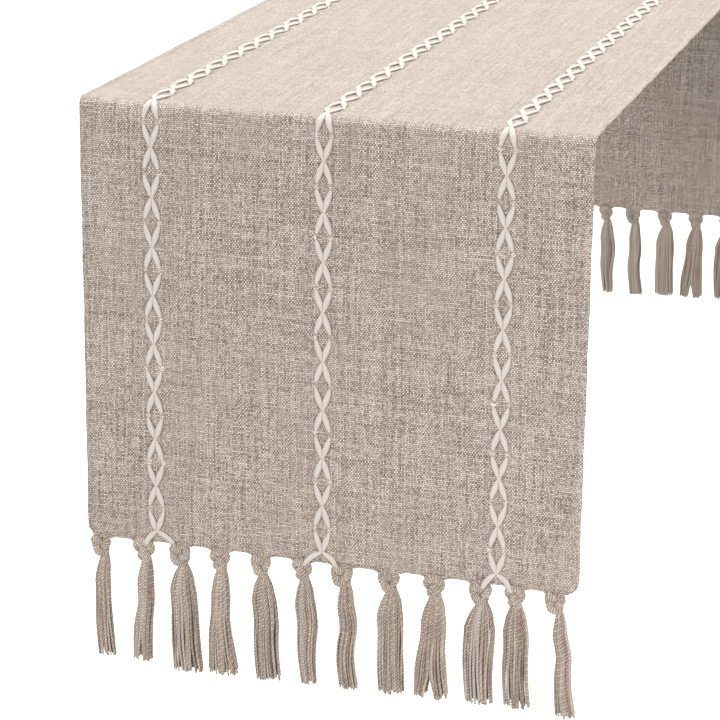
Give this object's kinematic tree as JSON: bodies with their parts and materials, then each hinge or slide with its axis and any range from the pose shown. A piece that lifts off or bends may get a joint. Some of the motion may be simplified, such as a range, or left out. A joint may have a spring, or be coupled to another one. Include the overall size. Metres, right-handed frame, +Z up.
{
  "type": "table runner",
  "caption": "Linen-look woven table runner with lengthwise interlaced cords and knotted tassels at both ends, draped over the two ends of a table.",
  "frame": {"origin": "the middle of the top stretch, on its underside, where it lies on the table", "axes": "+Y along the runner from the front end to the back end, +X across it to the right as seen from the front, +Z up"},
  "size_m": [0.3566, 1.0374, 0.4152],
  "materials": {
    "linen": "matte",
    "ivory_cord": "matte",
    "fringe_yarn": "matte"
  },
  "bodies": {
    "top": {"top_panel": "linen", "hem_left_top": "linen", "hem_right_top": "linen", "cord_left_a_top": "ivory_cord", "cord_left_b_top": "ivory_cord", "cord_middle_a_top": "ivory_cord", "cord_middle_b_top": "ivory_cord", "cord_right_a_top": "ivory_cord", "cord_right_b_top": "ivory_cord"},
    "front_drop": {"front_panel": "linen", "hem_left_front": "linen", "hem_right_front": "linen", "cord_left_a_front": "ivory_cord", "cord_left_b_front": "ivory_cord", "cord_middle_a_front": "ivory_cord", "cord_middle_b_front": "ivory_cord", "cord_right_a_front": "ivory_cord", "cord_right_b_front": "ivory_cord"},
    "back_drop": {"back_panel": "linen", "hem_left_back": "linen", "hem_right_back": "linen", "cord_left_a_back": "ivory_cord", "cord_left_b_back": "ivory_cord", "cord_middle_a_back": "ivory_cord", "cord_middle_b_back": "ivory_cord", "cord_right_a_back": "ivory_cord", "cord_right_b_back": "ivory_cord"},
    "tassel_front_01": {"tassel_front_01": "fringe_yarn"},
    "tassel_front_02": {"tassel_front_02": "fringe_yarn"},
    "tassel_front_03": {"tassel_front_03": "fringe_yarn"},
    "tassel_front_04": {"tassel_front_04": "fringe_yarn"},
    "tassel_front_05": {"tassel_front_05": "fringe_yarn"},
    "tassel_front_06": {"tassel_front_06": "fringe_yarn"},
    "tassel_front_07": {"tassel_front_07": "fringe_yarn"},
    "tassel_front_08": {"tassel_front_08": "fringe_yarn"},
    "tassel_front_09": {"tassel_front_09": "fringe_yarn"},
    "tassel_front_10": {"tassel_front_10": "fringe_yarn"},
    "tassel_front_11": {"tassel_front_11": "fringe_yarn"},
    "tassel_front_12": {"tassel_front_12": "fringe_yarn"},
    "tassel_back_01": {"tassel_back_01": "fringe_yarn"},
    "tassel_back_02": {"tassel_back_02": "fringe_yarn"},
    "tassel_back_03": {"tassel_back_03": "fringe_yarn"},
    "tassel_back_04": {"tassel_back_04": "fringe_yarn"},
    "tassel_back_05": {"tassel_back_05": "fringe_yarn"},
    "tassel_back_06": {"tassel_back_06": "fringe_yarn"},
    "tassel_back_07": {"tassel_back_07": "fringe_yarn"},
    "tassel_back_08": {"tassel_back_08": "fringe_yarn"},
    "tassel_back_09": {"tassel_back_09": "fringe_yarn"},
    "tassel_back_10": {"tassel_back_10": "fringe_yarn"},
    "tassel_back_11": {"tassel_back_11": "fringe_yarn"},
    "tassel_back_12": {"tassel_back_12": "fringe_yarn"}
  },
  "joints": [
    {"name": "front_drop_fold", "type": "hinge", "parent": "top", "child": "front_drop", "pos_m": [0, -0.513, -0.01164], "axis": [-1, 0, 0], "range_deg": [0, 90]},
    {"name": "back_drop_fold", "type": "hinge", "parent": "top", "child": "back_drop", "pos_m": [0, 0.513, -0.01164], "axis": [1, 0, 0], "range_deg": [0, 90]},
    {"name": "tassel_front_01_swing", "type": "hinge", "parent": "front_drop", "child": "tassel_front_01", "pos_m": [-0.1697, -0.5124, -0.3179], "axis": [1, 0, 0], "range_deg": [-90, 90]},
    {"name": "tassel_front_02_swing", "type": "hinge", "parent": "front_drop", "child": "tassel_front_02", "pos_m": [-0.1368, -0.5124, -0.3179], "axis": [1, 0, 0], "range_deg": [-90, 90]},
    {"name": "tassel_front_03_swing", "type": "hinge", "parent": "front_drop", "child": "tassel_front_03", "pos_m": [-0.1098, -0.5124, -0.3179], "axis": [1, 0, 0], "range_deg": [-90, 90]},
    {"name": "tassel_front_04_swing", "type": "hinge", "parent": "front_drop", "child": "tassel_front_04", "pos_m": [-0.0797, -0.5124, -0.3179], "axis": [1, 0, 0], "range_deg": [-90, 90]},
    {"name": "tassel_front_05_swing", "type": "hinge", "parent": "front_drop", "child": "tassel_front_05", "pos_m": [-0.0494, -0.5124, -0.3179], "axis": [1, 0, 0], "range_deg": [-90, 90]},
    {"name": "tassel_front_06_swing", "type": "hinge", "parent": "front_drop", "child": "tassel_front_06", "pos_m": [-0.0187, -0.5124, -0.3179], "axis": [1, 0, 0], "range_deg": [-90, 90]},
    {"name": "tassel_front_07_swing", "type": "hinge", "parent": "front_drop", "child": "tassel_front_07", "pos_m": [0.0101, -0.5124, -0.3179], "axis": [1, 0, 0], "range_deg": [-90, 90]},
    {"name": "tassel_front_08_swing", "type": "hinge", "parent": "front_drop", "child": "tassel_front_08", "pos_m": [0.044, -0.5124, -0.3179], "axis": [1, 0, 0], "range_deg": [-90, 90]},
    {"name": "tassel_front_09_swing", "type": "hinge", "parent": "front_drop", "child": "tassel_front_09", "pos_m": [0.0767, -0.5124, -0.3179], "axis": [1, 0, 0], "range_deg": [-90, 90]},
    {"name": "tassel_front_10_swing", "type": "hinge", "parent": "front_drop", "child": "tassel_front_10", "pos_m": [0.1094, -0.5124, -0.3179], "axis": [1, 0, 0], "range_deg": [-90, 90]},
    {"name": "tassel_front_11_swing", "type": "hinge", "parent": "front_drop", "child": "tassel_front_11", "pos_m": [0.1339, -0.5124, -0.3179], "axis": [1, 0, 0], "range_deg": [-90, 90]},
    {"name": "tassel_front_12_swing", "type": "hinge", "parent": "front_drop", "child": "tassel_front_12", "pos_m": [0.1617, -0.5124, -0.3179], "axis": [1, 0, 0], "range_deg": [-90, 90]},
    {"name": "tassel_back_01_swing", "type": "hinge", "parent": "back_drop", "child": "tassel_back_01", "pos_m": [-0.1697, 0.5124, -0.3179], "axis": [-1, 0, 0], "range_deg": [-90, 90]},
    {"name": "tassel_back_02_swing", "type": "hinge", "parent": "back_drop", "child": "tassel_back_02", "pos_m": [-0.1368, 0.5124, -0.3179], "axis": [-1, 0, 0], "range_deg": [-90, 90]},
    {"name": "tassel_back_03_swing", "type": "hinge", "parent": "back_drop", "child": "tassel_back_03", "pos_m": [-0.1098, 0.5124, -0.3179], "axis": [-1, 0, 0], "range_deg": [-90, 90]},
    {"name": "tassel_back_04_swing", "type": "hinge", "parent": "back_drop", "child": "tassel_back_04", "pos_m": [-0.0797, 0.5124, -0.3179], "axis": [-1, 0, 0], "range_deg": [-90, 90]},
    {"name": "tassel_back_05_swing", "type": "hinge", "parent": "back_drop", "child": "tassel_back_05", "pos_m": [-0.0494, 0.5124, -0.3179], "axis": [-1, 0, 0], "range_deg": [-90, 90]},
    {"name": "tassel_back_06_swing", "type": "hinge", "parent": "back_drop", "child": "tassel_back_06", "pos_m": [-0.0187, 0.5124, -0.3179], "axis": [-1, 0, 0], "range_deg": [-90, 90]},
    {"name": "tassel_back_07_swing", "type": "hinge", "parent": "back_drop", "child": "tassel_back_07", "pos_m": [0.0101, 0.5124, -0.3179], "axis": [-1, 0, 0], "range_deg": [-90, 90]},
    {"name": "tassel_back_08_swing", "type": "hinge", "parent": "back_drop", "child": "tassel_back_08", "pos_m": [0.044, 0.5124, -0.3179], "axis": [-1, 0, 0], "range_deg": [-90, 90]},
    {"name": "tassel_back_09_swing", "type": "hinge", "parent": "back_drop", "child": "tassel_back_09", "pos_m": [0.0767, 0.5124, -0.3179], "axis": [-1, 0, 0], "range_deg": [-90, 90]},
    {"name": "tassel_back_10_swing", "type": "hinge", "parent": "back_drop", "child": "tassel_back_10", "pos_m": [0.1094, 0.5124, -0.3179], "axis": [-1, 0, 0], "range_deg": [-90, 90]},
    {"name": "tassel_back_11_swing", "type": "hinge", "parent": "back_drop", "child": "tassel_back_11", "pos_m": [0.1339, 0.5124, -0.3179], "axis": [-1, 0, 0], "range_deg": [-90, 90]},
    {"name": "tassel_back_12_swing", "type": "hinge", "parent": "back_drop", "child": "tassel_back_12", "pos_m": [0.1617, 0.5124, -0.3179], "axis": [-1, 0, 0], "range_deg": [-90, 90]}
  ]
}
